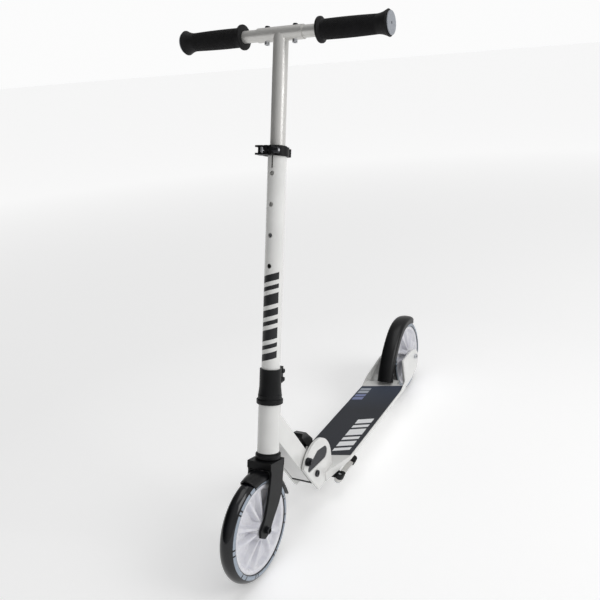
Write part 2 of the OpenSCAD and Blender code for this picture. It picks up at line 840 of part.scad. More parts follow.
module deck_board() {
    web = 3;
    chamber = 17;
    color("whitesmoke") along_y(deck_front, deck_rear - deck_front) difference() {
        deck_outline();
        translate([-chamber, nose_bottom + deck_wall])
            square([2 * chamber, deck_h - 2 * deck_wall]);
        for (s = [0, 1]) mirror([s, 0]) polygon([[chamber + web, nose_bottom + deck_wall],
            [keel_w / 2 - 1, nose_bottom + deck_wall], [deck_w / 2 - deck_wall, deck_top - edge_h + 1],
            [deck_w / 2 - deck_wall, deck_top - deck_wall], [chamber + web, deck_top - deck_wall]]);
    }
}

// The nose: a box between the side plates, and a flare from each plate to the deck's edge
module deck_nose() {
    plate_end = pivot_y + hump_shift + hump_r + 0.2;
    color("whitesmoke") {
        translate([-plate_in, front_y + pivot_y + 16, nose_bottom])
            cube([2 * plate_in, plate_end - pivot_y - 16, deck_h]);
        translate([-plate_x, front_y + plate_end, nose_bottom])
            cube([2 * plate_x, deck_front - plate_end, deck_h]);
        for (s = [0, 1]) mirror([s, 0, 0]) hull() {
            along_y(nose_root, 0.5) translate([plate_x, nose_bottom]) square([1.5, deck_h]);
            along_y(deck_front - 0.5, 0.5) polygon([[plate_x, nose_bottom], [keel_w / 2, nose_bottom],
                [deck_w / 2, deck_top - edge_h], [deck_w / 2, deck_top], [plate_x, deck_top]]);
        }
    }
}

tape_w = deck_w - 4;
tape_front = deck_front - 18;
tape_rear = deck_rear - 21;
tape_slant = 0.31;

// The grip tape: a sheet with both ends cut at the same slant
module grip_tape() {
    half = tape_w / 2;
    color("#33353c") translate([0, front_y, deck_top]) linear_extrude(tape_t) intersection() {
        polygon([[-half, tape_front - half * tape_slant], [half, tape_front + half * tape_slant],
            [half, tape_rear + half * tape_slant], [-half, tape_rear - half * tape_slant]]);
        union() {
            translate([-half, deck_front]) square([tape_w, deck_rear - deck_front]);
            polygon([[-plate_x, nose_root], [plate_x, nose_root], [half, deck_front + 1],
                [-half, deck_front + 1]]);
        }
        // Clear of the side plates
        translate([-half, pivot_y + hump_shift + hump_r + 1]) square([tape_w, wheelbase]);
    }
}

// ---------- rear end ----------

rear_x = rear_gap / 2;
plate_root = wheelbase - 88;

// The rear plate's outline beside the wheel, Y from the front axle and Z from the ground
module rear_plate_outline() {
    translate([wheelbase, 0]) polygon([[plate_root - wheelbase, 42], [plate_root - wheelbase, 126],
        [-44, 127], [-8, 124], [16, 113], [27, 96], [22, 74], [6, 58], [-28, 48]]);
}

module rear_side_plate() {
    translate([0, front_y, 0]) difference() {
        along_x(rear_x, rear_plate) rear_plate_outline();
        translate([0, wheelbase, wheel_r]) bar_x(axle_d + 2 * bolt_gap, 200);
    }
    // The flare from the deck's rear corner to the plate
    hull() {
        along_y(deck_rear, 0.5) polygon([[deck_w / 2 - 8, nose_bottom + 5], [deck_w / 2, deck_top - edge_h],
            [deck_w / 2, deck_top + 13], [deck_w / 2 - 1.5, deck_top + 13], [deck_w / 2 - 8, deck_top - 2]]);
        along_y(plate_root - 0.5, 0.5) translate([rear_x, 42]) square([rear_plate, 84]);
    }
    // The fin that rises along the deck's edge
    translate([0, front_y, 0]) along_x(deck_w / 2 - 1.5, 1.5)
        polygon([[deck_rear - 36, deck_top], [deck_rear, deck_top], [deck_rear, deck_top + 13]]);
}

module rear_plate_left() { color("whitesmoke") rear_side_plate(); }
module rear_plate_right() { color("whitesmoke") mirror([1, 0, 0]) rear_side_plate(); }

module rear_axle() {
    end_x = rear_x + rear_plate;
    color("#2a2a2c") at_rear_axle() {
        bar_x(axle_d, 2 * end_x + 5, -end_x - 1);
        bar_x(13, 4, -end_x - 4);
    }
}

module rear_axle_nut() {
    end_x = rear_x + rear_plate;
    color("#2a2a2c") at_rear_axle() difference() {
        union() {
            bar_x(15, 1, end_x);
            hex_x(12, 5, end_x + 1);
        }
        bar_x(axle_d, 20, end_x - cut);
    }
}

brake_y = wheelbase - 126;
brake_z = 100;
ear_x = guard_w / 2 - 7.5;
ear_w = 3;

module at_brake() { translate([0, front_y + brake_y, brake_z]) children(); }

// The two ears that hold the brake's pin, grown by a gap on every side
module brake_ears(gap) {
    for (x0 = [-ear_x - ear_w, ear_x]) translate([0, front_y, 0]) along_x(x0 - gap / 4, ear_w + gap / 2) {
        translate([brake_y - 8 - gap, deck_top]) square([16 + 2 * gap, brake_z - deck_top]);
        translate([brake_y, brake_z]) circle(8 + gap);
    }
}

module brake_bracket() {
    tail = 22;
    color("whitesmoke") {
        translate([-rear_x + 1, front_y + deck_rear, nose_bottom]) cube([2 * rear_x - 2, tail, deck_h]);
        difference() {
            brake_ears(0);
            at_brake() bar_x(brake_pin_d, 200);
        }
    }
}

module brake_pin() {
    color("silver") at_brake() bar_x(brake_pin_d, guard_w - 1);
}

// The brake's return spring round its pin, drawn as a row of rings
module brake_spring() {
    wire = 2;
    color("silver") at_brake() for (k = [-3 : 3]) translate([k * (wire + 0.3), 0, 0])
        rotate([0, 90, 0]) rotate_extrude() translate([brake_pin_d / 2 + wire / 2, 0]) circle(d = wire,
            $fn = 16);
}

guard_tail_r = 250;
guard_join = -33;

module rear_mudguard() {
    boss_d = 15;
    boss_w = guard_w / 2 - ear_x - ear_w - run_gap;
    color("#1b1b1d") difference() {
        union() {
            at_rear_axle() guard_arc(guard_r, guard_w, 20, 0.4, 26, guard_join, guard_tail_r, 32.5);
            // Bosses on the pivot pin
            at_brake() for (x0 = [-guard_w / 2, guard_w / 2 - boss_w]) bar_x(boss_d, boss_w, x0);
        }
        at_brake() bar_x(brake_pin_d + 2 * run_gap, 200);
        brake_ears(1.6);
        // Clear of the deck
        translate([-60, front_y + brake_y - 80, deck_top - 60]) cube([120, 160, 62]);
    }
}

// ---------- kickstand ----------

stand_y = 262;
stand_x = 42;
stand_bolt_d = 8;
stand_t = 8;
stand_drop = 13;
pad_t = 4.5;

// The kickstand turns about a bolt that leans outward; Z runs up the bolt
module at_stand() {
    translate([stand_x, front_y + stand_y, nose_bottom - stand_drop]) rotate([0, 90 - stand_tilt, 0])
        children();
}

module kickstand_bracket() {
    color("#1b1b1d") difference() {
        union() {
            at_stand() translate([0, 0, stand_t / 2 + side_gap]) cylinder(d = 20, h = 16);
            translate([stand_x - 16, front_y + stand_y - 12, nose_bottom - pad_t]) cube([14, 24, pad_t]);
        }
        translate([-100, front_y + stand_y - 60, nose_bottom]) cube([200, 120, 60]);
        at_stand() cylinder(d = stand_bolt_d, h = 80);
    }
}

module kickstand_bolt() {
    color("silver") at_stand() {
        translate([0, 0, -stand_t / 2]) cylinder(d = stand_bolt_d, h = stand_t + 8);
        translate([0, 0, -stand_t / 2 - 5]) round_disc(15, 4.5, 1);
    }
}

module kickstand_leg() {
    color("#1b1b1d") at_stand() translate([0, 0, -stand_t / 2]) difference() {
        union() {
            cylinder(d = 19, h = stand_t);
            translate([-6, 0, 0]) cube([12, stand_len, stand_t]);
        }
        translate([0, 0, -cut]) cylinder(d = stand_bolt_d + 2 * run_gap, h = stand_t + 2 * cut);
    }
}

module kickstand_foot() {
    color("#161618") at_stand() translate([0, stand_len - 2, -stand_t / 2 - 1.5]) difference() {
        union() {
            translate([-8, -10, 0]) cube([16, 14, stand_t + 3]);
            translate([0, 4, 0]) cylinder(d = 16, h = stand_t + 3);
        }
        translate([-6, -14, 1.5]) cube([12, 16, stand_t]);
    }
}

// ---------- what is drawn ----------

fold_plate_left();
fold_plate_right();
fold_inserts();
pivot_bolt();
pivot_nut();
lock_pin();
bumper_bar();
deck_board();
deck_nose();
grip_tape();
rear_plate_left();
rear_plate_right();
rear_axle();
rear_axle_nut();
rear_spacers();
brake_bracket();
brake_pin();
brake_spring();
kickstand_bracket();
kickstand_bolt();
head_tube();
down_tube();
headset_bearings();
pivot_bushes();
lever_pin();
fold_lever();
fork();
front_mudguard();
lower_headset_ring();
upper_headset_cover();
lower_clamp();
clamp_bolts();
lower_column();
height_bush();
qr_collar();
qr_skewer();
qr_nut();
qr_lever();
front_axle();
front_axle_nut();
front_spacers();
upper_column();
guide_plug();
handle_tubes();
grip_left();
grip_right();
grip_end_caps();
handle_bolts();
handle_nuts();
button_spring();
snap_button();
front_core();
front_tyre();
front_bearings();
rear_core();
rear_tyre();
rear_bearings();
rear_mudguard();
kickstand_leg();
kickstand_foot();
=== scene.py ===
# %% [markdown]
# # Finishing a folding kick scooter
# The scooter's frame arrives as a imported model: sixty pieces at their real size, in metres,
# with +Z up and the front wheel towards -Y. This lesson gives each piece the surface that the
# real one has. Where a plain solid isn't enough, a piece is worked out again with numpy as a
# surface of two parameters, and it stands in for the solid.

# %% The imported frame
import json
import math

import bmesh
import bpy
import numpy as np
from mathutils import Matrix, Vector


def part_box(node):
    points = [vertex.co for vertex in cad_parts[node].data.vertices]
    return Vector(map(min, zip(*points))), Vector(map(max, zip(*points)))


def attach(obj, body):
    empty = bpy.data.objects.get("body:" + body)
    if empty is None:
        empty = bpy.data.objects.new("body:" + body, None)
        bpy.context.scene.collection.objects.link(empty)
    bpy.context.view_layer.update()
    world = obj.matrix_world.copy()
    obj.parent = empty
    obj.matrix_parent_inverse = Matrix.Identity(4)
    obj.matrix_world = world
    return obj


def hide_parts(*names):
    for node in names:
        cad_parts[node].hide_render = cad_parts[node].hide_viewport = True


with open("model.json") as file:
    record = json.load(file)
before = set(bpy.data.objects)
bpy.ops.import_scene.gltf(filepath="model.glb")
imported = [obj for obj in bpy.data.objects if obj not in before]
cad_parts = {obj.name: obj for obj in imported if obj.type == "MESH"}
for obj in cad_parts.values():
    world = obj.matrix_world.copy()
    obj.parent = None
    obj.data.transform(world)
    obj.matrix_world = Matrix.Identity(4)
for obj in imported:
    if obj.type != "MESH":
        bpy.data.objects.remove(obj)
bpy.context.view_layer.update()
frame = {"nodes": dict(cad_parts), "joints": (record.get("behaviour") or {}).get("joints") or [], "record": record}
MM = 0.001

# %% [markdown]
# ## Where things are
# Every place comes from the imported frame. The tyres give the axles. The middle of the head tube
# and the axis of the joint that sets the bar's height give the steering axis, which leans back.
# The mudguard and the bars on the steering tube are measured along it and around it.


# %% Places taken from the frame
def centre(node):
    """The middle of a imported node's box."""
    low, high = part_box(node)
    return np.array((low + high) / 2)


front_axle = centre("front_tyre")
rear_axle = centre("rear_tyre")
bar_middle = centre("handle_tubes")
head_middle = centre("head_tube")
slide = next(j for j in frame["joints"] if j["name"] == "height_slide")
steer_up = np.array(slide["axis"], float)
steer_up /= np.linalg.norm(steer_up)
steer_ahead = np.array([0.0, -steer_up[2], steer_up[1]])
steer_side = np.array([1.0, 0.0, 0.0])


def on_steering(side, ahead, up):
    """World points from steering coordinates: middle of the head tube plus three multiples."""
    side, ahead, up = np.broadcast_arrays(side, ahead, up)
    return (head_middle + side[..., None] * steer_side + ahead[..., None] * steer_ahead
            + up[..., None] * steer_up)


print("front axle", front_axle.round(3), "rear axle", rear_axle.round(3))
print("steering axis leans back", round(math.degrees(math.asin(steer_up[1])), 2), "degrees")

# %% [markdown]
# ## Small tools
# Colours are written as the hex values that a paint chart gives, so one function turns them to
# the linear numbers that a shader adds up. One function adds a shader node with its settings
# and links. One turns a grid of points into a mesh: rows run along one parameter and columns
# along the other, and either way round can be closed.


# %% Colour and node helpers
def linear(hex_colour):
    """Linear RGBA of an sRGB hex: c/12.92 when dark, otherwise ((c + 0.055) / 1.055) ^ 2.4."""
    parts = [int(hex_colour[i:i + 2], 16) / 255 for i in (1, 3, 5)]
    return (*[c / 12.92 if c <= 0.04045 else ((c + 0.055) / 1.055) ** 2.4 for c in parts], 1.0)


def add(tree, kind, links=None, inputs=None, **settings):
    """Adds one shader node, with its settings, its fixed inputs and the sockets that feed it."""
    made = tree.nodes.new("ShaderNode" + kind)
    for name, value in settings.items():
        setattr(made, name, value)
    for name, value in (inputs or {}).items():
        made.inputs[name].default_value = value
    for name, socket in (links or {}).items():
        tree.links.new(socket, made.inputs[name])
    return made


def new_material(name, colour, roughness, **inputs):
    """A material with one Principled shader; returns it with its tree, shader and coordinates."""
    material = bpy.data.materials.new(name)
    material.use_nodes = True
    tree = material.node_tree
    shader = tree.nodes["Principled BSDF"]
    shader.inputs["Base Color"].default_value = linear(colour)
    shader.inputs["Roughness"].default_value = roughness
    for key, value in inputs.items():
        shader.inputs[key.replace("_", " ")].default_value = value
    place = add(tree, "TexCoord").outputs["Object"]
    return material, tree, shader, place


def grain(tree, place, size_mm, detail=2.0, stretch=None):
    """Noise whose spots are size_mm across. Its scale is one over that size in metres."""
    source = place
    if stretch is not None:
        source = add(tree, "Mapping", {"Vector": place}, {"Scale": stretch}).outputs["Vector"]
    return add(tree, "TexNoise", {"Vector": source},
               {"Scale": 1 / (size_mm * MM), "Detail": detail}).outputs["Fac"]


def spread(tree, factor, low, high, at_low, at_high):
    """Maps a factor between low and high to a value between at_low and at_high."""
    return add(tree, "MapRange", {"Value": factor},
               {"From Min": low, "From Max": high, "To Min": at_low, "To Max": at_high}).outputs[0]


def vary(tree, noise, at_low=0, at_high=1):
    """Spreads a noise, which mostly lies between 0.3 and 0.7, from at_low to at_high."""
    return spread(tree, noise, 0.3, 0.7, at_low, at_high)


def blend_colours(tree, factor, first, second):
    """A colour that goes from the first hex to the second as factor goes from 0 to 1."""
    mix = add(tree, "Mix", data_type="RGBA")
    mix.inputs["A"].default_value = linear(first)
    mix.inputs["B"].default_value = linear(second)
    tree.links.new(factor, mix.inputs["Factor"])
    return mix.outputs["Result"]


def raise_bumps(tree, shader, height, distance_mm, strength=1.0):
    """Feeds the shader's normal from a height pattern that stands distance_mm proud."""
    bump = add(tree, "Bump", {"Height": height}, {"Distance": distance_mm * MM, "Strength": strength})
    tree.links.new(bump.outputs["Normal"], shader.inputs["Normal"])


# %% Mesh helpers
def mesh_from_grid(name, points, close_rows=False, close_columns=False):
    """Joins a grid of points into four-sided faces, as whole index arrays."""
    rows, columns = points.shape[:2]
    index = np.arange(rows * columns).reshape(rows, columns)
    if close_rows:
        index = np.vstack([index, index[:1]])
    if close_columns:
        index = np.hstack([index, index[:, :1]])
    faces = np.stack([index[:-1, :-1], index[1:, :-1], index[1:, 1:], index[:-1, 1:]], -1)
    mesh = bpy.data.meshes.new(name)
    mesh.from_pydata(points.reshape(-1, 3), [], faces.reshape(-1, 4))
    mesh.update()
    return mesh


def outward(mesh):
    """Merges doubles and turns every face outwards."""
    work = bmesh.new()
    work.from_mesh(mesh)
    bmesh.ops.remove_doubles(work, verts=work.verts, dist=1e-6)
    bmesh.ops.recalc_face_normals(work, faces=work.faces)
    work.to_mesh(mesh)
    work.free()


def place_piece(name, mesh, material, body, replaced=(), sharp=40):
    """Puts a finished mesh in the scene as a piece that rides on a body."""
    mesh.materials.clear()
    mesh.materials.append(material)
    mesh.shade_smooth()
    mesh.set_sharp_from_angle(angle=math.radians(sharp))
    piece = bpy.data.objects.new(name, mesh)
    bpy.context.scene.collection.objects.link(piece)
    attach(piece, body)
    if replaced:
        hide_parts(*replaced)
    return piece


def capped(points):
    """Closes an open tube of rings by drawing its first and last ring to their middles."""
    first = np.broadcast_to(points[:1].mean(1, keepdims=True), points[:1].shape)
    last = np.broadcast_to(points[-1:].mean(1, keepdims=True), points[-1:].shape)
    return np.concatenate([first, points, last])


# %% [markdown]
# ## Paints and metals
# The frame is steel and aluminium under gloss white powder coat. Powder melts and flows into a
# skin with a faint waviness, called orange peel, a few millimetres from crest to crest. The
# steering tube is a satin silver, and the fork and clamps are a fine-grained satin black.


# %% White powder coat
def gloss_white_powder_coat():
    """Baked polyester powder: bright, glossy, with orange peel about 3 mm across."""
    material, tree, shader, place = new_material("gloss_white_powder_coat", "#dededc", 0.22)
    shader.inputs["Coat Weight"].default_value = 0.35
    shader.inputs["Coat Roughness"].default_value = 0.12
    peel = grain(tree, place, 3.0, 1.0)
    tone = blend_colours(tree, vary(tree, grain(tree, place, 60)),
                         "#e3e3e1", "#dbdbd9")
    tree.links.new(tone, shader.inputs["Base Color"])
    tree.links.new(vary(tree, peel, 0.2, 0.25), shader.inputs["Roughness"])
    raise_bumps(tree, shader, peel, 0.01, 0.05)
    return material


# %% Silver and black paints
def satin_silver_paint():
    """Aluminium flake in a satin lacquer; the flakes are drawn 0.4 mm across so that they show."""
    material, tree, shader, place = new_material("satin_silver_paint", "#d0cfcc", 0.34, Metallic=0.55)
    flake = grain(tree, place, 0.4, 1.0)
    tone = blend_colours(tree, spread(tree, flake, 0.35, 0.65, 0, 1), "#c9c8c5", "#d9d8d5")
    tree.links.new(tone, shader.inputs["Base Color"])
    tree.links.new(vary(tree, grain(tree, place, 9), 0.32, 0.42), shader.inputs["Roughness"])
    raise_bumps(tree, shader, flake, 0.01, 0.25)
    return material


def satin_black_powder_coat():
    """Fine-texture black powder: a tight grain under 1 mm that breaks up the highlights."""
    material, tree, shader, place = new_material("satin_black_powder_coat", "#0c0d0e", 0.38,
                                                Specular_IOR_Level=0.22)
    fine = grain(tree, place, 0.7, 3.0)
    tone = blend_colours(tree, vary(tree, grain(tree, place, 25)),
                         "#090a0b", "#101113")
    tree.links.new(tone, shader.inputs["Base Color"])
    tree.links.new(vary(tree, fine, 0.34, 0.5), shader.inputs["Roughness"])
    raise_bumps(tree, shader, fine, 0.03, 0.5)
    return material


# %% Steels
def black_oxide_steel():
    """Chemically blackened screws: dark, half metallic, a little patchy where oil dried."""
    material, tree, shader, place = new_material("black_oxide_steel", "#2b2c2f", 0.38, Metallic=0.85)
    patch = grain(tree, place, 2.5, 3.0)
    tree.links.new(blend_colours(tree, patch, "#202124", "#3a3b3f"), shader.inputs["Base Color"])
    tree.links.new(vary(tree, patch, 0.3, 0.5), shader.inputs["Roughness"])
    return material


def bright_zinc_steel():
    """Zinc plated and turned on a lathe: bright, with fine rings across the axis."""
    material, tree, shader, place = new_material("bright_zinc_steel", "#c9cbcf", 0.26, Metallic=1.0)
    rings = grain(tree, place, 0.5, 1.0, stretch=(1, 0.2, 0.2))
    tree.links.new(vary(tree, rings, 0.2, 0.36), shader.inputs["Roughness"])
    raise_bumps(tree, shader, rings, 0.01, 0.4)
    return material


# %% [markdown]
# ## Plastics and rubbers
# The mudguards are glass-filled nylon with a spark-eroded texture from the mould. The wheel
# cores are a hard white plastic with a hint of lavender, and the tyres are cast polyurethane,
# near black and glossy. The grips are a soft rubber.


# %% Nylon, core and cap
def glass_filled_nylon():
    """Moulded nylon: the mould's fine grain, 0.6 mm, under a half-gloss skin."""
    material, tree, shader, place = new_material("glass_filled_nylon", "#0c0c0e", 0.3,
                                                Specular_IOR_Level=0.35)
    fine = grain(tree, place, 0.6, 2.0)
    tone = blend_colours(tree, vary(tree, grain(tree, place, 30)),
                         "#09090b", "#101113")
    tree.links.new(tone, shader.inputs["Base Color"])
    tree.links.new(vary(tree, fine, 0.24, 0.36), shader.inputs["Roughness"])
    raise_bumps(tree, shader, fine, 0.03, 0.45)
    return material


def moulded_white_core():
    """Hard white plastic, slightly lavender, with soft flow marks that run out from the gate."""
    material, tree, shader, place = new_material("moulded_white_core", "#dcdce0", 0.28)
    shader.inputs["Subsurface Weight"].default_value = 0.08
    shader.inputs["Subsurface Radius"].default_value = (0.004, 0.004, 0.005)
    shader.inputs["Subsurface Scale"].default_value = 1.0
    flow = grain(tree, place, 14, 2.0)
    tree.links.new(blend_colours(tree, vary(tree, flow), "#e2e2e6", "#d3d3da"),
                   shader.inputs["Base Color"])
    tree.links.new(vary(tree, flow, 0.24, 0.36), shader.inputs["Roughness"])
    return material


def grey_cap_plastic():
    """Grey moulded end cap with a satin grain."""
    material, tree, shader, place = new_material("grey_cap_plastic", "#8d9197", 0.45)
    fine = grain(tree, place, 0.8, 2.0)
    tree.links.new(blend_colours(tree, fine, "#858990", "#969aa0"), shader.inputs["Base Color"])
    raise_bumps(tree, shader, fine, 0.02, 0.4)
    return material


# %% Tyre and rubbers
def cast_polyurethane():
    """Poured and turned polyurethane: near black, glossy, with faint lathe marks round it."""
    material, tree, shader, place = new_material("cast_polyurethane", "#0a0b0e", 0.16)
    shader.inputs["Coat Weight"].default_value = 0.3
    shader.inputs["Coat Roughness"].default_value = 0.05
    shader.inputs["Specular IOR Level"].default_value = 0.35
    cloudy = grain(tree, place, 18, 2.0)
    tree.links.new(blend_colours(tree, vary(tree, cloudy), "#08090c", "#101116"),
                   shader.inputs["Base Color"])
    marks = grain(tree, place, 1.2, 1.0)
    tree.links.new(vary(tree, marks, 0.1, 0.22), shader.inputs["Roughness"])
    raise_bumps(tree, shader, marks, 0.01, 0.3)
    return material


def soft_grip_rubber():
    """Moulded thermoplastic rubber: matt, with a faint bloom."""
    material, tree, shader, place = new_material("soft_grip_rubber", "#0b0b0c", 0.6,
                                                Specular_IOR_Level=0.2)
    shader.inputs["Sheen Weight"].default_value = 0.05
    shader.inputs["Sheen Roughness"].default_value = 0.5
    bloom = grain(tree, place, 12, 3.0)
    fine = grain(tree, place, 0.5, 2.0)
    tree.links.new(blend_colours(tree, vary(tree, bloom), "#09090a", "#111113"),
                   shader.inputs["Base Color"])
    tree.links.new(vary(tree, fine, 0.54, 0.72), shader.inputs["Roughness"])
    raise_bumps(tree, shader, fine, 0.03, 0.5)
    return material


def studded_insert_rubber():
    """The dark insert in the fold plates: rows of small moulded pips, 1.6 mm apart."""
    material, tree, shader, place = new_material("studded_insert_rubber", "#3c3e43", 0.6)
    pips = add(tree, "TexVoronoi", {"Vector": place}, {"Scale": 1 / (1.6 * MM), "Randomness": 0.25})
    # The pips' tops are painted lighter and the ground between them painted darker, as shade; the same pattern
    # also raises the pips as bumps
    pip_height_and_shade = spread(tree, pips.outputs["Distance"], 0.1, 0.45, 1, 0)
    tree.links.new(blend_colours(tree, pip_height_and_shade, "#2f3135", "#4b4d53"), shader.inputs["Base Color"])
    raise_bumps(tree, shader, pip_height_and_shade, 0.25, 0.8)
    return material


# %% Grip tape
def mineral_grip_tape():
    """Film coated with crushed mineral. Real grit is 0.3 mm; it is drawn at 1.1 mm to show."""
    material, tree, shader, place = new_material("mineral_grip_tape", "#33363d", 0.7)
    grit = grain(tree, place, 1.1, 3.0)
    # The colour runs from charcoal to slate blue, slantwise along the board
    turned = add(tree, "Mapping", {"Vector": place}, {"Rotation": (0, 0, math.radians(-18))})
    along = add(tree, "SeparateXYZ", {"Vector": turned.outputs["Vector"]}).outputs["Y"]
    fade = spread(tree, along, 0.1, 0.3, 0, 1)
    base = blend_colours(tree, fade, "#232429", "#3c475c")
    speckle = add(tree, "Mix", {"Factor": spread(tree, grit, 0.42, 0.72, 0, 0.5), "A": base},
                  data_type="RGBA")
    speckle.inputs["B"].default_value = linear("#5a606b")
    tree.links.new(speckle.outputs["Result"], shader.inputs["Base Color"])
    tree.links.new(vary(tree, grit, 0.55, 0.85), shader.inputs["Roughness"])
    raise_bumps(tree, shader, grit, 0.25, 0.6)
    return material


def printed_ink(name, colour, worn):
    """Screen-printed ink: a flat colour that is a little thin where the mesh pressed lightly."""
    material, tree, shader, place = new_material(name, colour, 0.4)
    thin = spread(tree, grain(tree, place, 0.9, 2.0), 0.35, 0.75, 0, 1)
    tree.links.new(blend_colours(tree, thin, colour, worn), shader.inputs["Base Color"])
    tree.links.new(spread(tree, thin, 0, 1, 0.32, 0.5), shader.inputs["Roughness"])
    return material


finishes = {
    "white_paint": gloss_white_powder_coat(),
    "silver_paint": satin_silver_paint(),
    "black_satin_metal": satin_black_powder_coat(),
    "black_plastic": glass_filled_nylon(),
    "black_steel": black_oxide_steel(),
    "bright_steel": bright_zinc_steel(),
    "grip_tape": mineral_grip_tape(),
    "dark_insert": studded_insert_rubber(),
    "grip_rubber": soft_grip_rubber(),
    "grey_plastic": grey_cap_plastic(),
    "wheel_core": moulded_white_core(),
    "tyre": cast_polyurethane(),
}
black_ink = printed_ink("black_ink", "#121316", "#1d1e22")
white_ink = printed_ink("white_ink", "#f6f7f8", "#e6e8ea")
silver_ink = printed_ink("silver_blue_ink", "#a3adb9", "#7a8593")
periwinkle_ink = printed_ink("periwinkle_ink", "#8790b8", "#68719a")
pale_grey_ink = printed_ink("pale_grey_ink", "#b6bcc6", "#939aa6")
print("materials:", len(bpy.data.materials))

# %% [markdown]
# ## First coat
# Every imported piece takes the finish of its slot, except three: the kickstand's leg is silver,
# the rear axle's nut is bright and the height lever's nut is black. This coat is all that bolts,
# bearings and tubes need, because their turned shape is already right.

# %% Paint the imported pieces
slot_of = {entry["node"]: entry["material_slot"] for entry in frame["record"]["subparts"]}
body_of = {node: body for body, nodes in frame["record"]["behaviour"]["bodies"].items() for node in nodes}
finish_of = {node: finishes[slot] for node, slot in slot_of.items()}
finish_of["kickstand_leg"] = finishes["silver_paint"]
finish_of["rear_axle_nut"] = finishes["bright_steel"]
finish_of["qr_nut"] = finishes["black_steel"]
for node, piece in frame["nodes"].items():
    piece.data.materials.clear()
    piece.data.materials.append(finish_of[node])
    piece.data.shade_smooth()
    piece.data.set_sharp_from_angle(angle=math.radians(30))
print("painted", len(slot_of), "pieces")

# %% [markdown]
# ## Edges that catch the light
# Pressed plate, extrusion and casting have no knife edges: the tool leaves a radius, and paint
# builds up on it. A copy of the solid is merged, its flat faces are made whole again, and a
# bevel of the real radius goes round every sharp edge. The copy stands in for the solid.


# %% Rounded copies
def rounded_copy(node, radius_mm, angle=32):
    """Copies a node, merges its triangles into flat faces and rounds its sharp edges."""
    mesh = frame["nodes"][node].data.copy()
    work = bmesh.new()
    work.from_mesh(mesh)
    bmesh.ops.remove_doubles(work, verts=work.verts, dist=2e-6)
    bmesh.ops.dissolve_limit(work, angle_limit=math.radians(0.6), verts=work.verts, edges=work.edges)
    work.to_mesh(mesh)
    work.free()
    piece = place_piece("finished_" + node, mesh, finish_of[node], body_of[node],
                        (node,), sharp=angle)
    bevel = piece.modifiers.new("edge", "BEVEL")
    bevel.width = radius_mm * MM
    bevel.segments = 3
    bevel.limit_method = "ANGLE"
    bevel.angle_limit = math.radians(angle)
    bevel.harden_normals = True


edge_radius = {"fork": 1.2, "fold_plate_left": 0.8, "fold_plate_right": 0.8, "deck_board": 1.2,
               "rear_plate_left": 0.8, "rear_plate_right": 0.8, "deck_nose": 1.0,
               "brake_bracket": 0.8, "lower_clamp": 1.0, "qr_collar": 0.8, "qr_lever": 0.6,
               "fold_lever": 1.2, "bumper_bar": 0.8, "kickstand_bracket": 0.6,
               "kickstand_leg": 1.0, "kickstand_foot": 1.0,
               "rear_mudguard": 0.5, "down_tube": 1.4, "fold_inserts": 0.4}
for node, radius_mm in edge_radius.items():
    rounded_copy(node, radius_mm)
print("rounded", len(edge_radius), "pieces")

# %% [markdown]
# ## Wheels
# The core is moulded in one: a hub, a thin web that is dished between hub and rim, and pairs of
# ribs that run down from the hub to the rim like buttresses. Its face is a height that depends
# on radius and angle, so it is a surface of two parameters. The tyre is a profile turned about
# the axle.


# %% The core
def smooth_step(x, low, high):
    """0 below low, 1 above high, and 3t^2 - 2t^3 between them."""
    t = np.clip((x - low) / (high - low), 0, 1)
    return t * t * (3 - 2 * t)


core_low, core_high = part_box("front_core")
CORE_R = (core_high[2] - core_low[2]) / 2
HUB_HALF = (core_high[0] - core_low[0]) / 2
BORE_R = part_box("front_bearings")[1][2] - front_axle[2]
RIM_HALF = 13.0 * MM
WEB_HALF = 2.6 * MM
RIB_PAIRS = 5
RIB_SPREAD = math.radians(14)
RIB_HALF = math.radians(5.4)
HUB_R = 17 * MM
HUB_FOOT_R = 25 * MM
RIM_FOOT_R = 69 * MM
RIM_R = 75.5 * MM
RIB_END_R = 70 * MM
RIB_END_HALF = 9.5 * MM
LIP_RISE = 0.7 * MM


def core_face(radius, angle):
    """Half width of the core at a radius and angle: a dished web, plus ribs that slope to the rim."""
    hub = 1 - smooth_step(radius, HUB_R, HUB_FOOT_R)
    rim = smooth_step(radius, RIM_FOOT_R, RIM_R)
    web = WEB_HALF + (HUB_HALF - WEB_HALF) * hub + (RIM_HALF - WEB_HALF - LIP_RISE) * rim
    slope = np.interp(radius, [HUB_R, RIB_END_R], [HUB_HALF - 1 * MM, RIB_END_HALF])
    turn = (angle * RIB_PAIRS / (2 * np.pi) + 0.5) % 1 - 0.5
    away = np.abs(np.abs(turn) * 2 * np.pi / RIB_PAIRS - RIB_SPREAD)
    rib = 1 - smooth_step(away, RIB_HALF * 0.45, RIB_HALF * 1.55)
    lip = smooth_step(radius, 77.0 * MM, 78.2 * MM) * LIP_RISE
    edge = smooth_step(radius, CORE_R - 1.2 * MM, CORE_R) * 1.0 * MM
    return np.maximum(web, web + (slope - web) * rib) + lip - edge


def core_mesh(name, axle):
    """Rings of constant radius on both faces, joined round the rim and through the bore."""
    radii = np.concatenate([np.linspace(BORE_R, HUB_R, 4), np.linspace(18 * MM, 68 * MM, 26),
                            np.linspace(69.5 * MM, 76.5 * MM, 8), np.linspace(77 * MM, 78.4 * MM, 4),
                            np.linspace(79.5 * MM, CORE_R, 6)])
    angle = np.linspace(0, 2 * np.pi, 361)[:-1]
    r, a = np.meshgrid(radii, angle, indexing="ij")
    half = core_face(r, a)
    faces = [np.stack([sign * half, r * np.sin(a), r * np.cos(a)], -1) for sign in (1, -1)]
    loop = np.concatenate([faces[0], faces[1][::-1]]) + axle
    mesh = mesh_from_grid(name, loop, close_rows=True, close_columns=True)
    outward(mesh)
    return mesh


